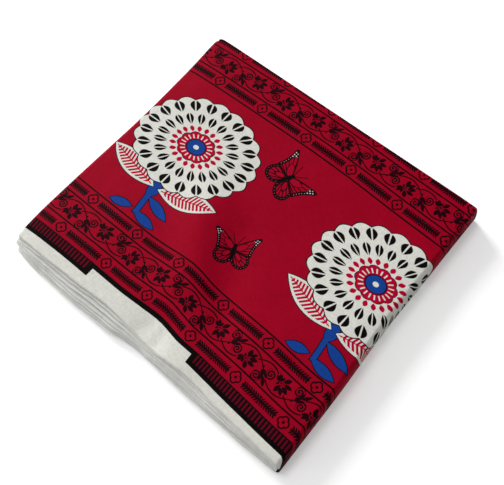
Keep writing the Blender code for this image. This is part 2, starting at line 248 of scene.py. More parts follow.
def clothPlace(x, y):
    # Metres along and across the cloth at a place on the top panel: across runs in straight
    # steps from line to line.
    x, y = np.broadcast_arrays(x, y)
    lines = [along(rows, x) for rows in printLie["lines"]]
    across = np.zeros(x.shape)
    steps = list(zip(lines, lines[1:], printLie["acrossAt"], printLie["acrossAt"][1:]))
    for number, (y0, y1, t0, t1) in enumerate(steps):
        here = t0 + (y - y0) / (y1 - y0) * (t1 - t0)
        within = (y >= y0) | (number == 0)
        across = np.where(within, here, across)
    first, last = printLie["nearFrom"]
    near = smooth((last - across) / (last - first))
    right = along(printLie["rightBy"], across) + along(printLie["nearBy"], x) * near
    return x - right / 1000, across / 1000


def addNode(tree, kind, inputs=(), **settings):
    # A shader node: its settings, then its inputs by number or name, each a value or a link.
    node = tree.nodes.new("ShaderNode" + kind)
    for label, value in settings.items():
        setattr(node, label, value)
    for place, value in dict(inputs).items():
        value = value.socket if isinstance(value, Field) else value
        if isinstance(value, bpy.types.NodeSocket):
            tree.links.new(value, node.inputs[place])
        else:
            node.inputs[place].default_value = value
    return node


class Field:
    # A number that changes over the cloth. Sums written with it become Math nodes.
    def __init__(self, tree, socket):
        self.tree, self.socket = tree, socket

    def do(self, kind, *others, clamp=False):
        # One Math node of a kind, on this number and the others.
        values = enumerate((self, *others))
        node = addNode(self.tree, "Math", values, operation=kind, use_clamp=clamp)
        return Field(self.tree, node.outputs[0])

    def far(self, other):
        # Distance from the middle: sqrt(self^2 + other^2).
        return (self * self + other * other).do("SQRT")

    def fromHalf(self):
        # A zigzag that repeats at each whole number: |fraction - 0.5|.
        return (self.part() - 0.5).size()

    def inkedWithin(self, edge=0.0, soft=0.3):
        # 1 where this distance is under edge, 0 past it, over a soft rim in millimetres.
        return self.do("MULTIPLY_ADD", -1 / soft, 0.5 + edge / soft, clamp=True)


# What else a field does, one Math node each: times(a, b) is self * a + b, and turnOf(other)
# is the angle of the place (other, self)
mathWords = {
    "__add__": "ADD", "__sub__": "SUBTRACT", "__mul__": "MULTIPLY", "__truediv__": "DIVIDE",
    "times": "MULTIPLY_ADD", "size": "ABSOLUTE", "least": "MINIMUM", "most": "MAXIMUM",
    "softMost": "SMOOTH_MAX", "wrapped": "FLOORED_MODULO", "whole": "FLOOR", "part": "FRACT",
    "sine": "SINE", "below": "LESS_THAN", "above": "GREATER_THAN", "turnOf": "ARCTAN2",
}
for word, mathKind in mathWords.items():
    setattr(Field, word, lambda self, *others, kind=mathKind: self.do(kind, *others))


def joined(tree, x, y):
    # The vector (x, y, 0).
    return addNode(tree, "CombineXYZ", {0: x, 1: y}).outputs[0]


def placed(tree, vector, at, turn=0.0, size=(1.0, 1.0)):
    # The vector as seen from a motif's own place: less at, turned back, over its size.
    place = {"Location": (*at, 0), "Rotation": (0, 0, math.radians(turn)), "Scale": (*size, 1)}
    return addNode(tree, "Mapping", {**place, "Vector": vector}, vector_type="TEXTURE").outputs[0]


def parted(tree, vector):
    # The vector's first two numbers.
    node = addNode(tree, "SeparateXYZ", {0: vector})
    return Field(tree, node.outputs[0]), Field(tree, node.outputs[1])


def noise(tree, vector, scale, detail):
    # Smooth random ups and downs, scale of them to a unit of the vector.
    return addNode(tree, "TexNoise", {"Scale": scale, "Detail": detail, "Vector": vector})


def repeated(x, middle, step):
    # From the nearest of evenly repeated middles: a saw from -step / 2 to step / 2.
    return (x - (middle - step / 2)).wrapped(step) - step / 2


def spot(tree, vector, at, half, turn=0.0):
    # Distance to an oval: (|scaled place| - 1) * its lesser half width.
    scaled = placed(tree, vector, at, turn, half)
    length = addNode(tree, "VectorMath", {0: scaled}, operation="LENGTH").outputs["Value"]
    return Field(tree, length).times(min(half), -min(half))


def petal(tree, vector, root, length, halfWidth, turn):
    # Distance to a pointed leaf from its root: (|v| + u^2 - 1) * half width.
    angle = math.radians(turn)
    middle = (root[0] + length / 2 * math.cos(angle), root[1] + length / 2 * math.sin(angle))
    u, v = parted(tree, placed(tree, vector, middle, turn, (length / 2, halfWidth)))
    return u.times(u, v.size()).times(halfWidth, -halfWidth)


def scroll(tree, vector, at, radius, pitch, turn, hand, half):
    # Distance to a spiral that winds in from the radius: how far (distance from its middle
    # + pitch * angle / 2 pi) is from the nearest turn, less half the thickness.
    u, v = parted(tree, placed(tree, vector, at, turn, (1.0, hand)))
    far = u.far(v)
    line = repeated(far + v.turnOf(u) * (pitch / math.tau), radius, pitch).size()
    return line.most(far - radius * 1.08) - half


def ring(tree, vector, at, radius, half):
    # Distance to a round line: |distance to the disc| - half thickness.
    return spot(tree, vector, at, (radius, radius)).size() - half


def sloped(x, y, alongX, alongY, plus):
    # A slanting edge: x * alongX + y * alongY + plus.
    return y.times(alongY, x.times(alongX, plus))


def nearest(first, *rest):
    # The least of several distances, so their shapes are one.
    for other in rest:
        first = first.least(other)
    return first


# The print's sizes in millimetres: s along the cloth, t across it from the selvedge
borders = {
    "marginEnd": 9.8, "lineEnd": 14.2, "ladderEnd": 22.9, "ladderLine": 24.0,
    "ladderStep": 3.96, "ladderBar": 0.95,
    "boxAt": -17.2, "boxHalf": 68.1, "boxStep": 9.4, "boxRule": 4.6, "boxRepeat": 701.0,
    "barRows": (31.4, 73.2), "lines": (39.7, 65.5, 80.9), "lineHalf": 0.82,
    "farStart": 247.4, "farScale": 0.972, "farFrom": 164.0,
    "quatrefoilAt": 38.3, "quatrefoilStep": 58.5,
    "barHalf": 20.3, "barReach": 3.8, "barbStep": 2.70, "barbLean": 0.62,
    "vineAt": 52.6, "vineHalfStep": 39.15, "vineStart": 65.3, "vineReach": 9.5,
    "vineHalf": 0.62, "vineRoom": 12.9, "tendrils": ((78.4, 110.4, 91.4), (99.8, 123.0, 114.0)),
    "lobeAt": 2.65, "lobeRadius": 2.95, "lobeHalf": 0.76, "eyeRadius": 1.35,
    "barbHalf": 1.28, "barbTaper": 0.11, "ribHalf": 1.1, "rimSoft": 0.5,
}

inks = {
    "ground": (0.308, 0.0006, 0.0150), "groundDeep": (0.254, 0.0005, 0.0110),
    "cream": (0.605, 0.605, 0.556), "plain": (0.660, 0.660, 0.630),
    "black": (0.0030, 0.0018, 0.0018),
    "lineInk": (0.0135, 0.0006, 0.0026), "maroon": (0.105, 0.0008, 0.0100),
    "blue": (0.0065, 0.044, 0.240), "red": (0.375, 0.0008, 0.0230),
}


def newGroup(name, takes, gives):
    # A node group with the named inputs and outputs, and its two end nodes.
    group = bpy.data.node_groups.new(name, "ShaderNodeTree")
    for label, kind, value in takes:
        socket = group.interface.new_socket(label, in_out="INPUT", socket_type=kind)
        if value is not None:
            socket.default_value = value
    for label, kind in gives:
        group.interface.new_socket(label, in_out="OUTPUT", socket_type=kind)
    return group, group.nodes.new("NodeGroupInput"), group.nodes.new("NodeGroupOutput")


def over(tree, under, mask, ink):
    # One ink laid over what is there: under * (1 - mask) + ink * mask.
    under, ink = [(*value, 1) if isinstance(value, tuple) else value for value in (under, ink)]
    return addNode(tree, "Mix", {0: mask, 6: under, 7: ink}, data_type="RGBA").outputs[2]


def laid(tree, colour, *rows):
    # Inks laid in turn: each row is a distance, an ink, and its rim's edge and softness.
    for distance, ink, *rim in rows:
        colour = over(tree, colour, distance.inkedWithin(*rim), inks[ink])
    return colour


# One step of the vine: a double scroll with its leaf, and a fan of petals with its calyx
vineMotif = (
    (scroll, (4.2, 7.7), 4.1, 2.6, 190, 1.0, 0.78),
    (scroll, (13.8, -1.8), 3.9, 2.6, 10, -1.0, 0.78),
    (spot, (7.0, 1.3), (2.4, 2.7), 0),
    (spot, (8.2, 4.9), (1.45, 4.8), -9),
    (spot, (10.4, 1.6), (3.6, 1.5), 32),
    (petal, (9.2, 3.6), 10.6, 1.85, 48),
    (spot, (4.0, -2.8), (1.1, 1.1), 0),
    (spot, (26.1, -2.6), (1.05, 1.05), 0),
    (ring, (26.1, -2.6), 2.2, 0.28),
    (petal, (26.8, -0.8), 8.2, 2.25, 98),
    (petal, (27.7, 0.6), 8.0, 1.75, 47),
    (petal, (28.6, -1.1), 8.6, 2.2, 21),
    (petal, (28.6, -3.5), 8.8, 1.95, -3),
    (petal, (27.2, -4.4), 7.9, 2.2, -53),
    (petal, (24.8, -3.0), 7.2, 2.1, -157),
    (petal, (24.6, -3.4), 7.2, 1.8, -130),
    (petal, (24.8, -3.6), 4.9, 1.3, -82),
    (petal, (24.4, -2.4), 3.9, 1.1, 118),
)


def borderInk(tree, s, t):
    # The twig bars, four-lobed rosettes, rules and running vine of the two borders, as the
    # least of the distances to them.
    far, scale = borders["farStart"], borders["farScale"]
    across = t.least(t.times(-scale, borders["lines"][2] + far * scale))
    rows = nearest(*[(across - row).size() for row in borders["barRows"]])
    step, lobe = borders["quatrefoilStep"], borders["lobeAt"]
    run = repeated(s, borders["quatrefoilAt"], step).size()
    rosette = nearest((run - lobe).far(rows), run.far(rows - lobe)) - borders["lobeRadius"]
    rosette = nearest(rosette.size() - borders["lobeHalf"], run.far(rows) - borders["eyeRadius"])
    away = run.times(-1.0, step / 2)
    barb = ((away - rows * borders["barbLean"]) / borders["barbStep"]).fromHalf()
    barb = barb.times(borders["barbStep"], -borders["barbHalf"]) + rows * borders["barbTaper"]
    barb = barb.most(rows - borders["barReach"]).most(away - borders["barHalf"])
    rib = (rows - borders["ribHalf"]).most(away - borders["barHalf"] - 0.4)
    rules = nearest(*[(across - row).size() for row in borders["lines"]]) - borders["lineHalf"]
    ink = nearest(rosette, barb, rib, rules)

    # The vine repeats by gliding half a step and turning over; it lies the same way round in
    # the far border
    half, middle = borders["vineHalfStep"], across - borders["vineAt"]
    s = s + t.above(borders["farFrom"]) * half

    def glide(start):
        # Place in the half step, and across, turned over in each second one.
        moved = s - start
        turned = (moved / half).whole().wrapped(2.0).times(-2.0, 1.0)
        return moved.wrapped(half), middle * turned

    def tendril(start, stop, peak):
        # |across - height * cos(2 pi (s - peak) / step)| - half thickness, between two ends.
        a, b = glide(start)
        wave = (a * (math.pi / half) + (start - peak) * math.pi / half + math.pi / 2).sine()
        line = (b - wave * borders["vineReach"]).size() * 0.88 - borders["vineHalf"]
        return line.most(a - (stop - start))

    vine = nearest(*[tendril(*row) for row in borders["tendrils"]])
    cell = joined(tree, *glide(borders["vineStart"]))
    for kind, *sizes in vineMotif:
        vine = nearest(vine, kind(tree, cell, *sizes))
    return nearest(ink, vine.most(middle.size() - borders["vineRoom"]))


def makePrint():
    # The whole print as one colour of the cloth's own place: inks laid over the ground, each
    # where the distance to its shapes is under nothing.
    tree, taken, given = newGroup(
        "waxPrint", [("Cloth place", "NodeSocketVector", None)],
        [("Color", "NodeSocketColor"), ("Bare", "NodeSocketFloat")])
    place = taken.outputs[0]
    # the print's edges waver by a sixth of a millimetre
    wobble = noise(tree, place, 700.0, 1.0).outputs["Color"]
    nudge = addNode(tree, "VectorMath", {0: wobble, 1: (0.0003, 0.0003, 0), 2: place},
                    operation="MULTIPLY_ADD").outputs[0]
    millimetres = addNode(tree, "VectorMath", {0: nudge, 1: (1000, 1000, 0), 2: (-0.15, -0.15, 0)},
                          operation="MULTIPLY_ADD").outputs[0]
    s, t = parted(tree, millimetres)
    # past the widthwise fold the same border comes back the other way
    t = t.least(t.times(-1.0, 2 * printLie["foldAt"]))

    tone = Field(tree, noise(tree, place, 60.0, 3.0).outputs["Fac"])
    shade = tone.do("MULTIPLY_ADD", 1.2, -0.25, clamp=True)
    colour = over(tree, inks["groundDeep"], shade, inks["ground"])
    colour = fieldMotifs(tree, colour, s, t)

    # The selvedge: cream margin, black rule, ladder, and the bare box set into them
    box = repeated(s, borders["boxAt"], borders["boxRepeat"]).size()
    wide = box.inkedWithin(borders["boxHalf"], borders["rimSoft"])
    wider = box.inkedWithin(borders["boxHalf"] + borders["boxRule"], borders["rimSoft"])
    ladder = (s / borders["ladderStep"]).fromHalf() * borders["ladderStep"]
    bars = ladder.inkedWithin(borders["ladderBar"]) * t.inkedWithin(borders["ladderEnd"])
    margin = (t - wide * borders["boxStep"]).inkedWithin(borders["marginEnd"])
    colour = laid(tree, colour, (borderInk(tree, s, t), "lineInk"),
                  (t, "black", borders["ladderLine"]))
    colour = over(tree, colour, bars, inks["maroon"])
    colour = laid(tree, colour, (t - wider * borders["boxStep"], "black", borders["lineEnd"]))
    colour = over(tree, colour, margin, inks["cream"])
    tree.links.new(colour, given.inputs[0])
    tree.links.new(margin.socket, given.inputs[1])
    return tree


# The field's motifs: a white bloom on a blue stem with two striped leaves, and a pair of
# butterflies between. They repeat along the cloth.
fieldSizes = {
    "repeat": 233.6, "bloomAt": (-101.0, 180.0), "bloomRadius": 54.5, "bloomWiden": 0.76,
    "scallops": 20, "scallop": 3.4, "petalStart": 24.2, "petalStep": 13.9, "petalRings": 2,
    "redStart": 20.4, "redStep": 6.6, "discRadius": 15.0, "outline": 0.9,
    "heart": (("black", 8.8), ("blue", 7.9), ("cream", 2.4)),
    # the stem's own leaves: root, length, half width, turn
    "stemLeaves": (((-3.0, -88.0), 24.0, 4.4, 196), ((1.0, -90.0), 30.0, 4.6, -8),
                   ((2.0, -70.0), 34.0, 4.8, 342), ((0.0, -50.0), 22.0, 6.0, -90)),
    "leafAt": (36.0, -52.0), "leafTurn": 12, "leafHalf": (34.0, 11.5),
    # place, size and turn of the upper and the lower butterfly
    "butterflies": ((-4.4, 208.0, 1.0, -30), (7.8, 118.0, 0.86, 25)),
    # their body and head: middle and half sizes
    "bodyParts": (((0.0, -3.2), (1.9, 8.2)), ((0.0, 2.2), (2.8, 3.6)), ((0.0, 6.6), (1.7, 1.9))),
    # lines of the forewing, as x and y parts and a start: outer and tip edge, along the outer
    # edge, leading edge; how far that and the outer one bend; the tip's place, and its dark part
    "wingLines": ((0.954, -0.300, -20.38), (0.834, 0.552, -19.0), (0.300, 0.954, -15.63),
                  (-0.552, 0.834, -6.0)),
    "leadBend": 0.005, "outBend": -0.013, "wingSoft": 3.0, "tipEnd": 15.6, "tipDark": 6.0,
    # the hind wing's oval, and a cell in each wing
    "hindWing": ((9.6, -7.6), (12.4, 10.4), -40),
    "foreCell": ((0.5, 1.5), 17.0, 3.9, 34), "hindCell": ((7.0, -5.2), (5.6, 2.7), -42),
}


def fieldMotifs(tree, colour, s, t):
    # Each motif drawn about its own middle, over the one before.
    cx, cy = fieldSizes["bloomAt"]
    x, y = repeated(s, cx, fieldSizes["repeat"]), t - cy
    colour = stemAndLeaves(tree, colour, x, y)
    colour = bloom(tree, colour, x * fieldSizes["bloomWiden"], y)
    return butterflies(tree, colour, s, t)


def stemAndLeaves(tree, colour, x, y):
    # A swaying blue stem, |x - 4 sin(y)| - half width, with its leaves, and under the bloom two
    # long leaves that mirror each other, with red strokes and a red rib.
    sway = x - (y * 0.045).sine() * 4.0
    stem = (sway.size() - 2.6).most((y + 72.0).size() - 20.0)
    place = joined(tree, x, y)
    blue = nearest(stem, *[petal(tree, place, *row) for row in fieldSizes["stemLeaves"]])
    side, half = joined(tree, x.size(), y), fieldSizes["leafHalf"]
    u, v = parted(tree, placed(tree, side, fieldSizes["leafAt"], fieldSizes["leafTurn"], half))
    leaf = u.times(u, v.size()).times(half[1], -half[1])
    stroke = (u * 8.0 - v.size() * 1.5).fromHalf() * 4.2
    strokes = (leaf + 2.6).most(stroke.times(-1.0, 0.85))
    rib = (v.size() * half[1] - 0.5).most(leaf + 2.0)
    outline = fieldSizes["outline"]
    return laid(tree, colour, (blue, "black", outline), (blue, "blue"), (leaf, "black", outline),
                (leaf, "cream"), (strokes, "red"), (rib, "red"))


def bloom(tree, colour, x, y):
    # Rings of black petals on white, small red ones, a red disc with strokes, a blue heart. Its
    # edge is at radius - scallop * (1 - |sin(count * angle / 2)|).
    count, scallop = fieldSizes["scallops"], fieldSizes["scallop"]
    far, angle = x.far(y), y.turnOf(x)
    edge = far - (angle * (count / 2)).sine().size() * scallop - (fieldSizes["bloomRadius"] - scallop)
    colour = laid(tree, colour, (edge, "black", 1.0), (edge, "cream"))

    # petals in a polar grid: |u| * (widening outwards) + 4.6 v^2 < 1, less a white midrib
    step = fieldSizes["petalStep"]
    turns = angle.times(count / math.tau, count)
    rings = far.times(1 / step, -fieldSizes["petalStart"] / step)
    side = (turns + rings.whole().wrapped(2.0) * 0.5).fromHalf()
    out = rings.part() - 0.5
    mark = out.times(out * 4.6, side * out.times(-1.5, 3.1) - 1.0)
    mark = mark.most(side.times(-5.0, 0.22) + out.times(0.9, -0.28).most(0.0))
    inRings = (rings - fieldSizes["petalRings"]).below(0.0) * rings.above(0.0)
    colour = over(tree, colour, mark.inkedWithin(0.0, 0.10) * inRings, inks["black"])
    step = fieldSizes["redStep"]
    reach = far.times(1 / step, -fieldSizes["redStart"] / step)
    red = reach.times(reach * 4.2, turns.fromHalf() * 3.2 - 1.0)
    disc = far - (angle * 5.0).sine().size() * 1.5 - fieldSizes["discRadius"]
    rays = (turns.fromHalf() * (far * 0.314) - 0.55).most((far - 11.9).size() - 2.1)
    heart = [(far, ink, radius) for ink, radius in fieldSizes["heart"]]
    return laid(tree, colour, (red, "red", 0.0, 0.12), (disc, "black", 0.7), (disc, "red"),
                (rays, "cream"), *heart)


def butterflies(tree, colour, s, t):
    # Two butterflies drawn as one, seen from its own place: veined wings about a body. Each
    # wing is the most of the distances to its edges, and both sides mirror at |u|.
    place = joined(tree, repeated(s, 0.0, fieldSizes["repeat"]), t)
    upper, lower = [placed(tree, place, (cx, cy), turn, (size, size))
                    for cx, cy, size, turn in fieldSizes["butterflies"]]
    middle = (fieldSizes["butterflies"][0][1] + fieldSizes["butterflies"][1][1]) / 2
    chosen = addNode(tree, "Mix", {0: t.above(middle), 4: lower, 5: upper}, data_type="VECTOR")
    u, v = parted(tree, chosen.outputs[1])
    a = u.size()
    wing = joined(tree, a, v)
    # forewing: the inside of four soft edges, the outer one drawn in; hind wing: an oval
    out, tipward, edgeRun, lead = [sloped(a, v, *row) for row in fieldSizes["wingLines"]]
    out = edgeRun.times(edgeRun * fieldSizes["outBend"], out + 1.6)
    fore, soft = tipward.times(tipward * fieldSizes["leadBend"], lead), fieldSizes["wingSoft"]
    for edge in (out, tipward - fieldSizes["tipEnd"], v.times(-1.0, -3.4)):
        fore = fore.softMost(edge, soft)
    hind = spot(tree, wing, *fieldSizes["hindWing"])
    # cells between the veins, inside a dark margin and tip that hold small white dots
    far, lean, parting = a.far(v), v.turnOf(a + 1.5), v + a * 0.10
    cell = nearest(petal(tree, wing, *fieldSizes["foreCell"]),
                   spot(tree, wing, *fieldSizes["hindCell"]))
    vein = (lean * 5.2 + 0.35).fromHalf() * far * 0.192 - 0.48
    vein = nearest(vein.most(cell.times(-1.0, 0.0)), cell.size() - 0.45)
    foreCells = (fore + 1.4).most(out + 4.0).most(tipward - 6.4).most(parting.times(-1.0, 0.8))
    cells = nearest(foreCells, (hind + 3.4).most(parting + 0.8)).most(vein.times(-1.0, 0.0))
    step, tip = 2.7, tipward.above(fieldSizes["tipDark"])
    rows = ((out / step + 1.2).part() - 0.5) * step
    dots = (((edgeRun / step).part() - 0.5) * step).far(rows) - (tip * 0.42 + 0.26)
    dots = dots.most(out.times(-1.0, -3.2) - tip * 5.4).most(fore + 1.5)
    dots = dots.most(parting.times(-1.0, 1.0))
    specks = (((lean * 8.0).part() - 0.5) * 2.9).far(hind + 1.7) - 0.10
    body = nearest(*[spot(tree, wing, *row) for row in fieldSizes["bodyParts"]])
    feeler = ((a - (v - 5.5) * 0.50).size() * 0.9 - 0.45).most((v - 13.0).size() - 6.4)
    return laid(tree, colour, (nearest(fore, hind), "lineInk"),
                (cells.most(far.times(-1.0, 3.4)), "ground"),
                (nearest(dots, specks.most(parting)), "cream", 0.0, 0.4),
                (nearest(body, feeler), "black"))


def makeWeave():
    # Plain weave: warp and weft ridges in turn, |sin x * sin y| / 2 + (|sin x| + |sin y|) / 4,
    # with slubs along the threads, as a height and a slight tint.
    tree, taken, given = newGroup(
        "plainWeave",
        [("Cloth place", "NodeSocketVector", None), ("Threads per metre", "NodeSocketFloat", 2600.0)],
        [("Height", "NodeSocketFloat"), ("Tint", "NodeSocketFloat")])
    count = Field(tree, taken.outputs[1])
    warp, weft = [(run * count * math.pi).sine() for run in parted(tree, taken.outputs[0])]
    height = (warp * weft).size() * 0.5 + (warp.size() + weft.size()) * 0.25

    def slubs(size):
        # Noise drawn out along one thread: its size in metres each way.
        drawn = placed(tree, taken.outputs[0], (0, 0), 0, size)
        return Field(tree, noise(tree, drawn, 1.0, 2.0).outputs["Fac"])

    threads = slubs((0.0012, 0.006)) + slubs((0.007, 0.0011))
    tree.links.new((height + threads * 0.4).socket, given.inputs[0])
    tree.links.new((height * 0.10 + threads * 0.34).socket, given.inputs[1])
    return tree


waxPrint = makePrint()
plainWeave = makeWeave()
print("print and weave groups made,", len(waxPrint.nodes), "nodes in the print")


# Roughness of the wax finish and of bare cloth, and what both share
finish = {
    "waxed": 0.56, "bare": 0.75, "threads": 2600.0, "brightness": 0.58, "bump": 0.25,
    "bumpDepth": 0.00012, "gloss": 0.018, "sheen": 0.004, "sheenRough": 0.4,
    # painted shade between the sheets: their faces are darkened inwards from the leaf's tip, by dimBy times
    # dimRate * metres - dimStart
    "dimRate": 380.0, "dimStart": 0.40, "dimBy": 0.27,
}


def clothMaterial(name, plain=None):
    # Cotton: the print or one plain colour times (tint + brightness), with the weave as bump; plain cloth
    # also gets painted shade, darker inwards from its tip.
    material = bpy.data.materials.new(name)
    material.use_nodes = True
    tree = material.node_tree
    shader = tree.nodes["Principled BSDF"]
    rough = finish["waxed"] if plain is None else finish["bare"]
    for label, value in (("Roughness", rough), ("Specular IOR Level", finish["gloss"]),
                         ("Sheen Weight", finish["sheen"]), ("Sheen Roughness", finish["sheenRough"])):
        shader.inputs[label].default_value = value
    place = addNode(tree, "UVMap", uv_map="cloth").outputs[0]
    weave = addNode(tree, "Group", node_tree=plainWeave)
    tree.links.new(place, weave.inputs[0])
    weave.inputs[1].default_value = finish["threads"]
    bright = Field(tree, weave.outputs["Tint"]) + finish["brightness"]
    if plain is None:
        drawn = addNode(tree, "Group", node_tree=waxPrint)
        tree.links.new(place, drawn.inputs[0])
        colour = drawn.outputs["Color"]
        worn = Field(tree, drawn.outputs["Bare"]).times(finish["bare"] - rough, rough)
        tree.links.new(worn.socket, shader.inputs["Roughness"])
    else:
        colour = (*plain, 1)
        # painted shade: the plain sheets are darkened the further in they lie from the leaf's tip, where
        # one sheet shades the next
        inward = parted(tree, place)[1]
        paintedShade = inward.do("MULTIPLY_ADD", finish["dimRate"], -finish["dimStart"], clamp=True)
        bright = bright * paintedShade.times(-finish["dimBy"], 1.0)
    tinted = addNode(tree, "Mix", {0: 1.0, 6: colour, 7: bright},
                     data_type="RGBA", blend_type="MULTIPLY")
    bump = addNode(tree, "Bump", {"Strength": finish["bump"], "Distance": finish["bumpDepth"],
                                  "Height": weave.outputs["Height"]})
    tree.links.new(tinted.outputs[2], shader.inputs["Base Color"])
    tree.links.new(bump.outputs[0], shader.inputs["Normal"])
    return material


printedCotton = clothMaterial("printedCotton")
creamCotton = clothMaterial("creamCotton", plain=inks["plain"])


# The outer strip: one wall that wraps the bundle, from tuck to tuck
wrapSizes = {
    "rows": 96, "topSteps": 170, "noseSteps": 16, "underSteps": 40, "tuckSteps": 5, "rimSteps": 7,
    "backCorner": 0.0080, "frontCorner": 0.0035, "tightFrom": 0.80, "tightBy": 0.5,
    # how far the print slews at the front of the end fold, over what length, depth and share
    "slewBy": 0.0105, "slewOver": 0.014, "slewDepth": 0.03, "slewShare": 0.16,
    # reach of each of the four layers at the front, from the inside out, and its waver
    "layerReach": (0.0011, 0.0002, 0.0008, 0.0), "waver": 0.0003,
    # a layer's edge: places over its thickness, and how far in each lies
    "layerEdge": ((-0.5, 0.0005), (-0.36, 0.0), (0.0, -0.00018), (0.36, 0.0)),
}


def stripPath(share):
    # The strip's middle line at each share of its width: tuck, fold, top, end fold, bottom,
    # fold, tuck. Folds are half superellipses: x + out * cos^(2/n), z + tall * sin^(2/n).
    wall = bundle["wall"]
    half, power = wall / 2, 2 / bundle["round"]
    left = along(bundle["leftEdge"], stripRow(-0.17, 0.5, share)) + half
    right = along(bundle["rightEdge"], stripRow(0.17, 0.5, share)) - half
    lower, upper = bundle["leftFolds"][0][2], bundle["leftFolds"][2][2]
    # the end fold is tighter at its back end
    tight = smooth((share - wrapSizes["tightFrom"]) / (1 - wrapSizes["tightFrom"]))
    bulge = bundle["endBulge"] * (1 - wrapSizes["tightBy"] * tight)
    xUpper, xLower, xEnd = left + upper, left + lower, right - bulge
    xTuck = left - half + bundle["tuck"]
    turn = np.radians(np.linspace(0, 90, wrapSizes["noseSteps"] + 1)[1:-1])
    rise, reach = np.sin(turn) ** power, np.cos(turn) ** power
    heights = np.concatenate([-rise[::-1], [0], rise])[:, None]
    outs = np.concatenate([reach[::-1], [1], reach])[:, None]

    def fold(x, out, start, end):
        # Half a superellipse that stands out from x, between two (height, side).
        (z0, s0), (z1, s1) = start, end
        side = np.linspace(s0, s1, len(heights))[:, None] + 0 * x
        return x + out * outs, (z0 + z1) / 2 + (z1 - z0) / 2 * heights, side

    def slotHeight(x, number, side):
        # Middle of the slot that a tuck lies in.
        y = stripRow(x, side, share)
        return layerHeight(x, y, bundle["leftFolds"][number][0] / bundle["layers"], number - 0.5)

    def topMiddle(x):
        # The top's height with its ripples, less half the wall.
        y = stripRow(x, 0, share)
        return topHeight(x, y) + softFolds(x, y, bundle["ripples"]) - half

    def level(x0, x1, steps, height, side):
        # An even run from x0 to x1 at a height.
        x = x0 + np.linspace(0, 1, steps + 1)[:, None] * (x1 - x0)
        return x, height(x) + 0 * x, side + 0 * x

    parts = [
        level(xTuck, xUpper, wrapSizes["tuckSteps"], lambda x: slotHeight(x, 2, 0), 0),
        fold(xUpper, -upper, (slotHeight(xUpper, 2, 0), 0), (topMiddle(xUpper), 0)),
        level(xUpper, xEnd, wrapSizes["topSteps"], topMiddle, 0),
        fold(xEnd, bulge, (topMiddle(xEnd), 0), (half + 0 * xEnd, 1)),
        level(xEnd, xLower, wrapSizes["underSteps"], lambda x: half, 1),
        fold(xLower, -lower, (half + 0 * xLower, 1), (slotHeight(xLower, 1, 1), 1)),
        level(xLower, xTuck, wrapSizes["tuckSteps"], lambda x: slotHeight(x, 1, 1), 1),
    ]
    topStart = len(parts[0][0]) + len(parts[1][0])
    x, z, side = (np.concatenate(kind) for kind in zip(*parts))
    return x, z, side, topStart, topStart + len(parts[2][0]) - 1


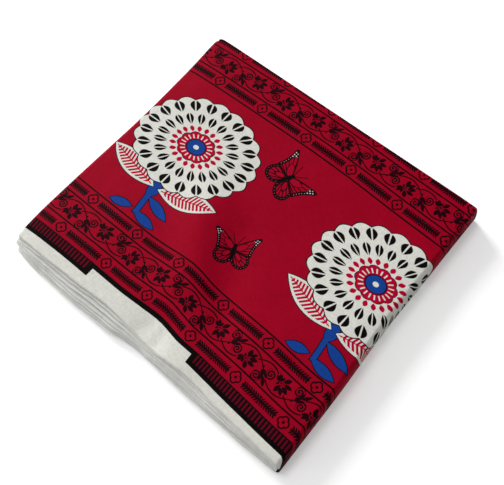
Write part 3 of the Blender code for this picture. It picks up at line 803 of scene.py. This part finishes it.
def wrapCloth():
    # Loops across the strip carried along its path: middle line + normal * half the wall, with
    # half a circle at the back and four layer edges at the front.
    half, rows = bundle["wall"] / 2, wrapSizes["rows"]
    # rows stand closest at the front and back edges, where the strip's corners are round
    share = np.concatenate([np.linspace(0, 0.02, 8)[:-1], np.linspace(0.02, 0.975, rows - 15),
                            np.linspace(0.975, 1, 10)[1:]])
    x, z, side, topStart, topEnd = stripPath(share)
    y = stripRow(x, side, share)
    straightX, straightY = x, stripRow(x, 0, share)
    edge = along(bundle["leftEdge"], y) + half
    x, y = roundCorner(x, y, edge, bundle["back"] - half, -1, 1, wrapSizes["backCorner"])
    frontAt = along(bundle["frontEdge"], x) - side * along(bundle["bottomReach"], x)
    x, y = roundCorner(x, y, edge, frontAt, -1, -1, wrapSizes["frontCorner"])
    dx, dz = np.gradient(x, axis=0), np.gradient(z, axis=0)
    length = np.hypot(dx, dz)
    normal = np.stack([-dz / length, 0 * dx, dx / length], axis=-1)

    # the print's place: off the top it goes on by the length run along the path
    steps = np.hypot(np.diff(x, axis=0), np.diff(z, axis=0))
    run = np.concatenate([0 * x[:1], np.cumsum(steps, 0)])
    xPrint, yPrint = straightX.copy(), straightY.copy()
    xPrint[topEnd:], yPrint[topEnd:] = straightX[topEnd], straightY[topEnd]
    xPrint[:topStart], yPrint[:topStart] = straightX[topStart], straightY[topStart]
    s, t = clothPlace(xPrint, yPrint)
    before = np.arange(len(x))[:, None] < topStart
    after = np.arange(len(x))[:, None] > topEnd
    down = (run - run[topEnd]) * after
    s = s + np.where(before, run - run[topStart], 0) + down
    # on the end fold's face the selvedge turns under, so the print slews towards the front
    slew = smooth(down / wrapSizes["slewOver"]) * smooth(2 - down / wrapSizes["slewDepth"])
    t = t + wrapSizes["slewBy"] * slew * np.exp(-share / wrapSizes["slewShare"])
    middle, cloth = np.stack([x, y, z], axis=-1), np.stack([s, t], axis=-1)
    outer, inner = middle + normal * half, middle - normal * half

    rim = np.radians(np.linspace(0, 180, wrapSizes["rimSteps"] + 2)[1:-1])
    back = [middle[:, -1] + half * (normal[:, -1] * math.cos(a) + np.array([0, math.sin(a), 0]))
            for a in rim]
    backCloth = [cloth[:, -1] + np.array([0, half * a]) for a in rim]
    front, layer = [], bundle["wall"] / 4
    for k, reach in enumerate(wrapSizes["layerReach"]):
        wave = wrapSizes["waver"] * np.sin(x[:, 0] * (61 + 23 * k) + 1.7 * k) * (k < 3)
        for place, inward in wrapSizes["layerEdge"]:
            point = middle[:, 0] + normal[:, 0] * (layer * (k + 0.5 + place) - half)
            # the strip's lowest corner stays where it is
            if k or place > -0.5:
                point[:, 1] += inward - reach - wave
            front.append(point)
    frontCloth = [cloth[:, 0] - np.array([0, 0.0005])] * len(front)
    innerCloth = cloth[:, ::-1] * np.array([1, -1]) + np.array([0, 2 * printLie["foldAt"] / 1000])
    points = np.concatenate([outer, np.stack(back, 1), inner[:, ::-1], np.stack(front, 1)], axis=1)
    uv = np.concatenate([cloth, np.stack(backCloth, 1), innerCloth, np.stack(frontCloth, 1)], axis=1)
    # the last point of one part and the first of the next are one: only one is kept
    keep = np.concatenate([[True], np.hypot(*np.diff(middle[:, 0, [0, 2]], axis=0).T) > 1e-7])
    points, uv = points[keep], uv[keep]
    count, loop = points.shape[:2]
    points[..., 2] = np.maximum(points[..., 2], 0)
    faces = np.concatenate([tubeFaces(count, loop), endFaces(count, loop, loop // 2 - 1)])
    return points.reshape(-1, 3), faces, uv.reshape(-1, 2), float(run[-1].mean())


points, faces, uv, stripLength = wrapCloth()
wrap = addPiece("wrapCloth", points, faces, uv, printedCotton)
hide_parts("outer_strip")
print("outer strip made,", len(faces), "faces,", round(stripLength, 3), "m long")


# The layers inside: one rounded stack, with the widthwise folds as lobes at the back
stackSizes = {"folds": 14, "levels": 7, "lengthCells": 84, "widthCells": 72,
              "lobeDepth": 0.0009, "sideLobe": 0.0004, "lobeRound": 2.4,
              "coreClear": 0.0004, "corner": 0.0095,
              # a tuck's slot: how far past the tuck and in at the back, and from where to where
              "slotPast": 0.0010, "slotBack": 0.0006, "slotSpan": (0.08, 0.92),
              "backInset": (0.0004, 0.0010, 0.0002, 0.0007, 0.0012, 0.0003, 0.0008, 0.0005,
                            0.0011, 0.0002, 0.0006, 0.0010, 0.0003, 0.0007)}


def leftInset(share, row):
    # Inset of a group's fold at the left, by the share of the layers' thickness.
    first, last, bulge, inset = row
    middle, half = (first + last) / 2, (last - first) / 2
    return inset + nose((share * bundle["layers"] - middle) / half, bulge)


def rightInset(share):
    # Inset at the right, just inside the strip's end fold.
    return bundle["wall"] + bundle["noseClear"] + nose(2 * share - 1, bundle["endBulge"])


def stackLevels():
    # Rings from the bottom up: share of the thickness, slots below, left and back insets, strip.
    rings, folds = [], stackSizes["folds"]
    tuckEnd = bundle["tuck"] + stackSizes["slotPast"]
    for share in np.linspace(0, 1, folds * stackSizes["levels"] + 1):
        strip = min(int(share * folds), folds - 1)
        inside = share * folds - strip
        number = next(k for k, row in enumerate(bundle["leftFolds"])
                      if share * bundle["layers"] <= row[1] + 1e-9)
        row, power = bundle["leftFolds"][number], stackSizes["lobeRound"]
        back = nose(2 * inside - 1, stackSizes["lobeDepth"], power) + stackSizes["backInset"][strip]
        left = leftInset(share, row) + nose(2 * inside - 1, stackSizes["sideLobe"], power)
        rings.append((share, number, left, back, strip))
        if abs(share * bundle["layers"] - row[1]) < 1e-9 and number < 2:
            rings += [(share, number + place, tuckEnd, back + stackSizes["slotBack"], strip)
                      for place in stackSizes["slotSpan"]]
            above = leftInset(share, bundle["leftFolds"][number + 1])
            rings.append((share, number + 1, above, back, strip))
    return rings


def plan(u, v, insets, back):
    # A place in the rounded outline of the layers: low + u * (high - low), and the same for v,
    # with u and v from 0 to 1.
    insetLeft, insetRight = insets
    y = bundle["coreFront"] + v * (bundle["back"] - back - bundle["coreFront"])
    low = along(bundle["leftEdge"], y) + insetLeft
    high = along(bundle["rightEdge"], y) - insetRight
    x = low + u * (high - low)
    for side, edge in ((-1, low), (1, high)):
        x, y = roundCorner(x, y, edge, bundle["back"] - back, side, 1, stackSizes["corner"])
    return x, y


def innerLayers():
    # Rings round the stack, one above another, and a grid over its top and its bottom.
    nu, nv = stackSizes["lengthCells"], stackSizes["widthCells"]
    ease = [0.5 * (even + smooth(even)) for even in (np.linspace(0, 1, n + 1) for n in (nu, nv))]
    i = np.r_[np.arange(nu), np.full(nv, nu), np.arange(nu, 0, -1), np.zeros(nv, int)]
    j = np.r_[np.zeros(nu, int), np.arange(nv), np.full(nu, nv), np.arange(nv, 0, -1)]
    levels = stackLevels()
    fold, strips = printLie["foldAt"] / 1000, stackSizes["folds"]

    def ringAt(level, i, j):
        # Points and cloth places at grid numbers i, j of a level; the print runs on up the sides.
        share, slots, left, back, strip = level
        x, y = plan(ease[0][i], ease[1][j], (left, rightInset(share)), back)
        z = layerHeight(x, y, share, slots) - stackSizes["coreClear"] * share
        hand = 1 - 2 * (strip % 2)
        rise = z - layerHeight(x, y, (strip + 0.5) / strips, slots)
        atBack, atSide = (j == nv), (i == 0) | (i == nu)
        s = hand * x + bundle["panel"] * strip + np.where(atSide & ~atBack, rise, 0)
        t = np.where(atBack, fold + rise, clothPlace(x, y)[1])
        return np.stack([x, y, z], axis=-1), np.stack([s, t], axis=-1)

    rings = [ringAt(level, i, j) for level in levels]
    points, cloth = [r[0] for r in rings], [r[1] for r in rings]
    faces, count = [tubeFaces(len(levels), len(i))], len(i)
    number = -np.ones((nu + 1, nv + 1), int)
    gi, gj = np.meshgrid(np.arange(1, nu), np.arange(1, nv), indexing="ij")
    for level, start in ((0, len(levels) * count), (len(levels) - 1, len(levels) * count + gi.size)):
        top, uv = ringAt(levels[level], gi.ravel(), gj.ravel())
        points.append(top)
        cloth.append(uv)
        number[i, j] = level * count + np.arange(count)
        number[1:-1, 1:-1] = start + np.arange(gi.size).reshape(gi.shape)
        quads = [number[:-1, :-1], number[1:, :-1], number[1:, 1:], number[:-1, 1:]]
        quads = np.stack(quads, -1).reshape(-1, 4)
        faces.append(quads if level else quads[:, ::-1])
    return np.concatenate(points), np.concatenate(faces), np.concatenate(cloth)


points, faces, uv = innerLayers()
stack = addPiece("innerLayers", points, faces, uv, printedCotton, sharp=70)
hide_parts("inner_layers")
print("inner layers made,", len(faces), "faces")


# The selvedge leaves, fanned along the front
leafSizes = {
    "places": (-0.176, -0.150, -0.115, -0.075, -0.035, -0.008, 0.015, 0.055, 0.105, 0.140, 0.177),
    "reach": (
        (.0085, .0118, .0128, .0150, .0148, .0090, .0080, .0092, .0070, .0056, .0035),
        (.0105, .0140, .0152, .0160, .0160, .0108, .0086, .0110, .0082, .0068, .0050),
        (.0098, .0130, .0157, .0173, .0172, .0101, .0090, .0124, .0094, .0080, .0044),
        (.0092, .0116, .0136, .0158, .0150, .0094, .0080, .0108, .0084, .0072, .0040),
        (.0076, .0100, .0124, .0138, .0132, .0080, .0072, .0094, .0070, .0050, .0032),
        (.0070, .0086, .0098, .0118, .0108, .0068, .0060, .0072, .0064, .0046, .0026),
        (.0050, .0066, .0074, .0076, .0074, .0046, .0040, .0056, .0044, .0034, .0018),
        (.0040, .0034, .0036, .0040, .0036, .0026, .0024, .0030, .0026, .0022, .0012)),
    "steps": 190, "depthRows": (0, .35, .6, .75, .86, .93), "sheets": 4,
    # a leaf thins to this share of its thickness, from this share of its depth
    "tip": 0.56, "thinFrom": 0.8,
    # a sheet's upper and lower face over its thickness, and how far its rounded edge stands out
    "faces": (0.86, 0.14), "faceAt": 0.995, "edgeOut": 0.00012,
    # how far each sheet of a leaf stands back from its tip, for four leaves in turn
    "setBack": ((0.0036, 0.0002, 0.0000, 0.0012), (0.0004, 0.0000, 0.0040, 0.0008),
                (0.0000, 0.0034, 0.0003, 0.0002), (0.0010, 0.0000, 0.0042, 0.0030)),
    "waver": 0.0005, "groove": 0.0026, "flat": (0.030, 0.345),
}


def selvedgeLeaf(layer):
    # Loops in the plane across the front, carried along X: over the leaf, round the edges of
    # its sheets with a groove between each two, and back under it.
    number = next(k for k, row in enumerate(bundle["leftFolds"]) if row[0] <= layer < row[1])
    fold, sheets = bundle["leftFolds"][number], leafSizes["sheets"]
    even = np.linspace(0, 1, leafSizes["steps"] + 1)
    u = 0.6 * even + 0.4 * smooth(even)
    root = bundle["coreFront"] - bundle["gap"]
    left, right = along(bundle["leftEdge"], root), along(bundle["rightEdge"], root)
    place = left + u * (right - left)
    reach = along(tuple(zip(leafSizes["places"], leafSizes["reach"][layer])), place)
    tip = along(bundle["frontEdge"], place) - reach

    def surface(share, back, v):
        # Points at a share from the leaf's lower (0) to its upper face (1), v of the way out.
        y = root + v * (tip + back - root)
        ends = []
        for edge in (0, 1):
            whole = (layer + edge) / bundle["layers"]
            start = along(bundle["leftEdge"], y) + leftInset(whole, fold) + bundle["endClear"]
            stop = along(bundle["rightEdge"], y) - rightInset(whole) - bundle["endClear"]
            x = start + u * (stop - start)
            ends.append(np.stack([x, y, layerHeight(x, y, whole, number)], axis=-1))
        low, high = ends
        tall = np.linalg.norm(high - low, axis=-1, keepdims=True)
        thinning = smooth((v - leafSizes["thinFrom"]) / (1 - leafSizes["thinFrom"]))
        thin = (1 - (1 - leafSizes["tip"]) * thinning) * (1 - bundle["gap"] / tall)
        return (low + high) / 2 + (high - low) * (share - 0.5) * thin

    def waver(k):
        # How far sheet k's edge wavers inwards: a long wave and a short one.
        long = np.sin(place * (37 + 19 * k + 7 * layer) + 2.1 * k + layer)
        short = np.sin(place * (151 + 31 * k + 13 * layer) + k)
        return np.maximum(leafSizes["waver"] * (0.5 + 0.5 * long + 0.4 * short), 0)

    backs = [inset + waver(k) for k, inset in enumerate(leafSizes["setBack"][layer % 4])]
    loop = [surface(1.0, backs[-1], v) for v in leafSizes["depthRows"]]
    for k in reversed(range(sheets)):
        top, low = [(k + face) / sheets for face in leafSizes["faces"]]
        loop.append(surface(top, backs[k], leafSizes["faceAt"]))
        loop.append(surface((k + 0.5) / sheets, backs[k] - leafSizes["edgeOut"], 1.0))
        loop.append(surface(low, backs[k], leafSizes["faceAt"]))
        if k:
            inner = np.maximum(backs[k], backs[k - 1]) + leafSizes["groove"]
            loop.append(surface(k / sheets, inner, 1.0))
    loop += [surface(0.0, backs[0], v) for v in leafSizes["depthRows"][::-1]]
    points = np.stack(loop, axis=1)
    steps, count = points.shape[:2]
    uv = np.stack([points[..., 0], points[..., 1] - tip[:, None]], axis=-1)
    faces = np.concatenate([tubeFaces(steps, count), endFaces(steps, count, count // 2)])
    return points.reshape(-1, 3), faces, uv.reshape(-1, 2)


for layer in range(bundle["layers"]):
    points, faces, uv = selvedgeLeaf(layer)
    leaf = addPiece("selvedgeLeaf%d" % (layer + 1), points, faces, uv, creamCotton, sharp=80)
    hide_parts("selvedge_leaf_%d" % (layer + 1))
print("selvedge leaves made,", len(faces), "faces each")


studio = {
    # the floor as the camera sees it, and as it throws light back
    "floor": (0.93, 0.93, 0.93), "bounce": (0.94, 0.94, 0.94), "floorHalf": 6.0,
    "shadowLift": 0.24, "world": 0.36, "skySeen": 0.92, "lens": 60.52,
    # the camera's place before centring, and its own axes: right and up
    "cameraAt": (0.30220622, -0.215183, 0.75950207),
    "cameraRight": (0.74341519, 0.66165351, -0.09771634),
    "cameraUp": (-0.57048944, 0.70356326, 0.42372224),
    # lights: name, place, size, power
    "lights": (("key", (-7.9, 2.0, 3.6), 3.6, 965.0), ("overhead", (-0.5, -0.2, 2.2), 0.8, 11.6),
               ("fill", (-0.7, -1.6, 0.5), 1.2, 8.0)),
}


def cameraRay(tree):
    # 1 where the camera itself sees the surface, 0 for its light on other things.
    return Field(tree, addNode(tree, "LightPath").outputs["Is Camera Ray"])


def makeStudio():
    # A pale floor and sky, area lights that face the bundle, and the camera: its matrix has the
    # columns right, up and right x up.
    half = studio["floorHalf"]
    mesh = bpy.data.meshes.new("floor")
    mesh.from_pydata([(-half, -half, 0), (half, -half, 0), (half, half, 0), (-half, half, 0)],
                     [], [(0, 1, 2, 3)])
    addObject("floor", mesh)
    material = bpy.data.materials.new("paleFloor")
    material.use_nodes = True
    mesh.materials.append(material)
    tree = material.node_tree
    shader = tree.nodes["Principled BSDF"]
    shader.inputs["Roughness"].default_value = 0.9
    shader.inputs["Emission Color"].default_value = (1, 1, 1, 1)
    # the camera sees the shadow on the floor lifted towards white
    seen = cameraRay(tree)
    tree.links.new(over(tree, studio["bounce"], seen, studio["floor"]), shader.inputs["Base Color"])
    tree.links.new((seen * studio["shadowLift"]).socket, shader.inputs["Emission Strength"])

    # the sky's light is dim, and it is as pale as the floor where the camera sees it
    world = bpy.data.worlds.new("studio")
    world.use_nodes = True
    tree = world.node_tree
    background = tree.nodes["Background"]
    background.inputs["Color"].default_value = (1, 1, 1, 1)
    strength = cameraRay(tree).times(studio["skySeen"] - studio["world"], studio["world"])
    tree.links.new(strength.socket, background.inputs["Strength"])
    bpy.context.scene.world = world
    for name, place, size, power in studio["lights"]:
        light = bpy.data.lights.new(name, "AREA")
        light.energy, light.size = power, size
        lamp = addObject(name, light)
        lamp.location = place
        lamp.rotation_euler = (-Vector(place)).to_track_quat("-Z", "Y").to_euler()
    camera = bpy.data.cameras.new("camera")
    camera.lens, camera.sensor_width = studio["lens"], 36.0
    right, up = np.array(studio["cameraRight"]), np.array(studio["cameraUp"])
    turned = Matrix(np.stack([right, up, np.cross(right, up)], axis=1).tolist()).to_4x4()
    turned.translation = np.array(studio["cameraAt"]) - centreShift
    eye = addObject("camera", camera)
    eye.matrix_world = turned
    bpy.context.scene.camera = eye
    bpy.context.scene.view_settings.view_transform = "Standard"


makeStudio()
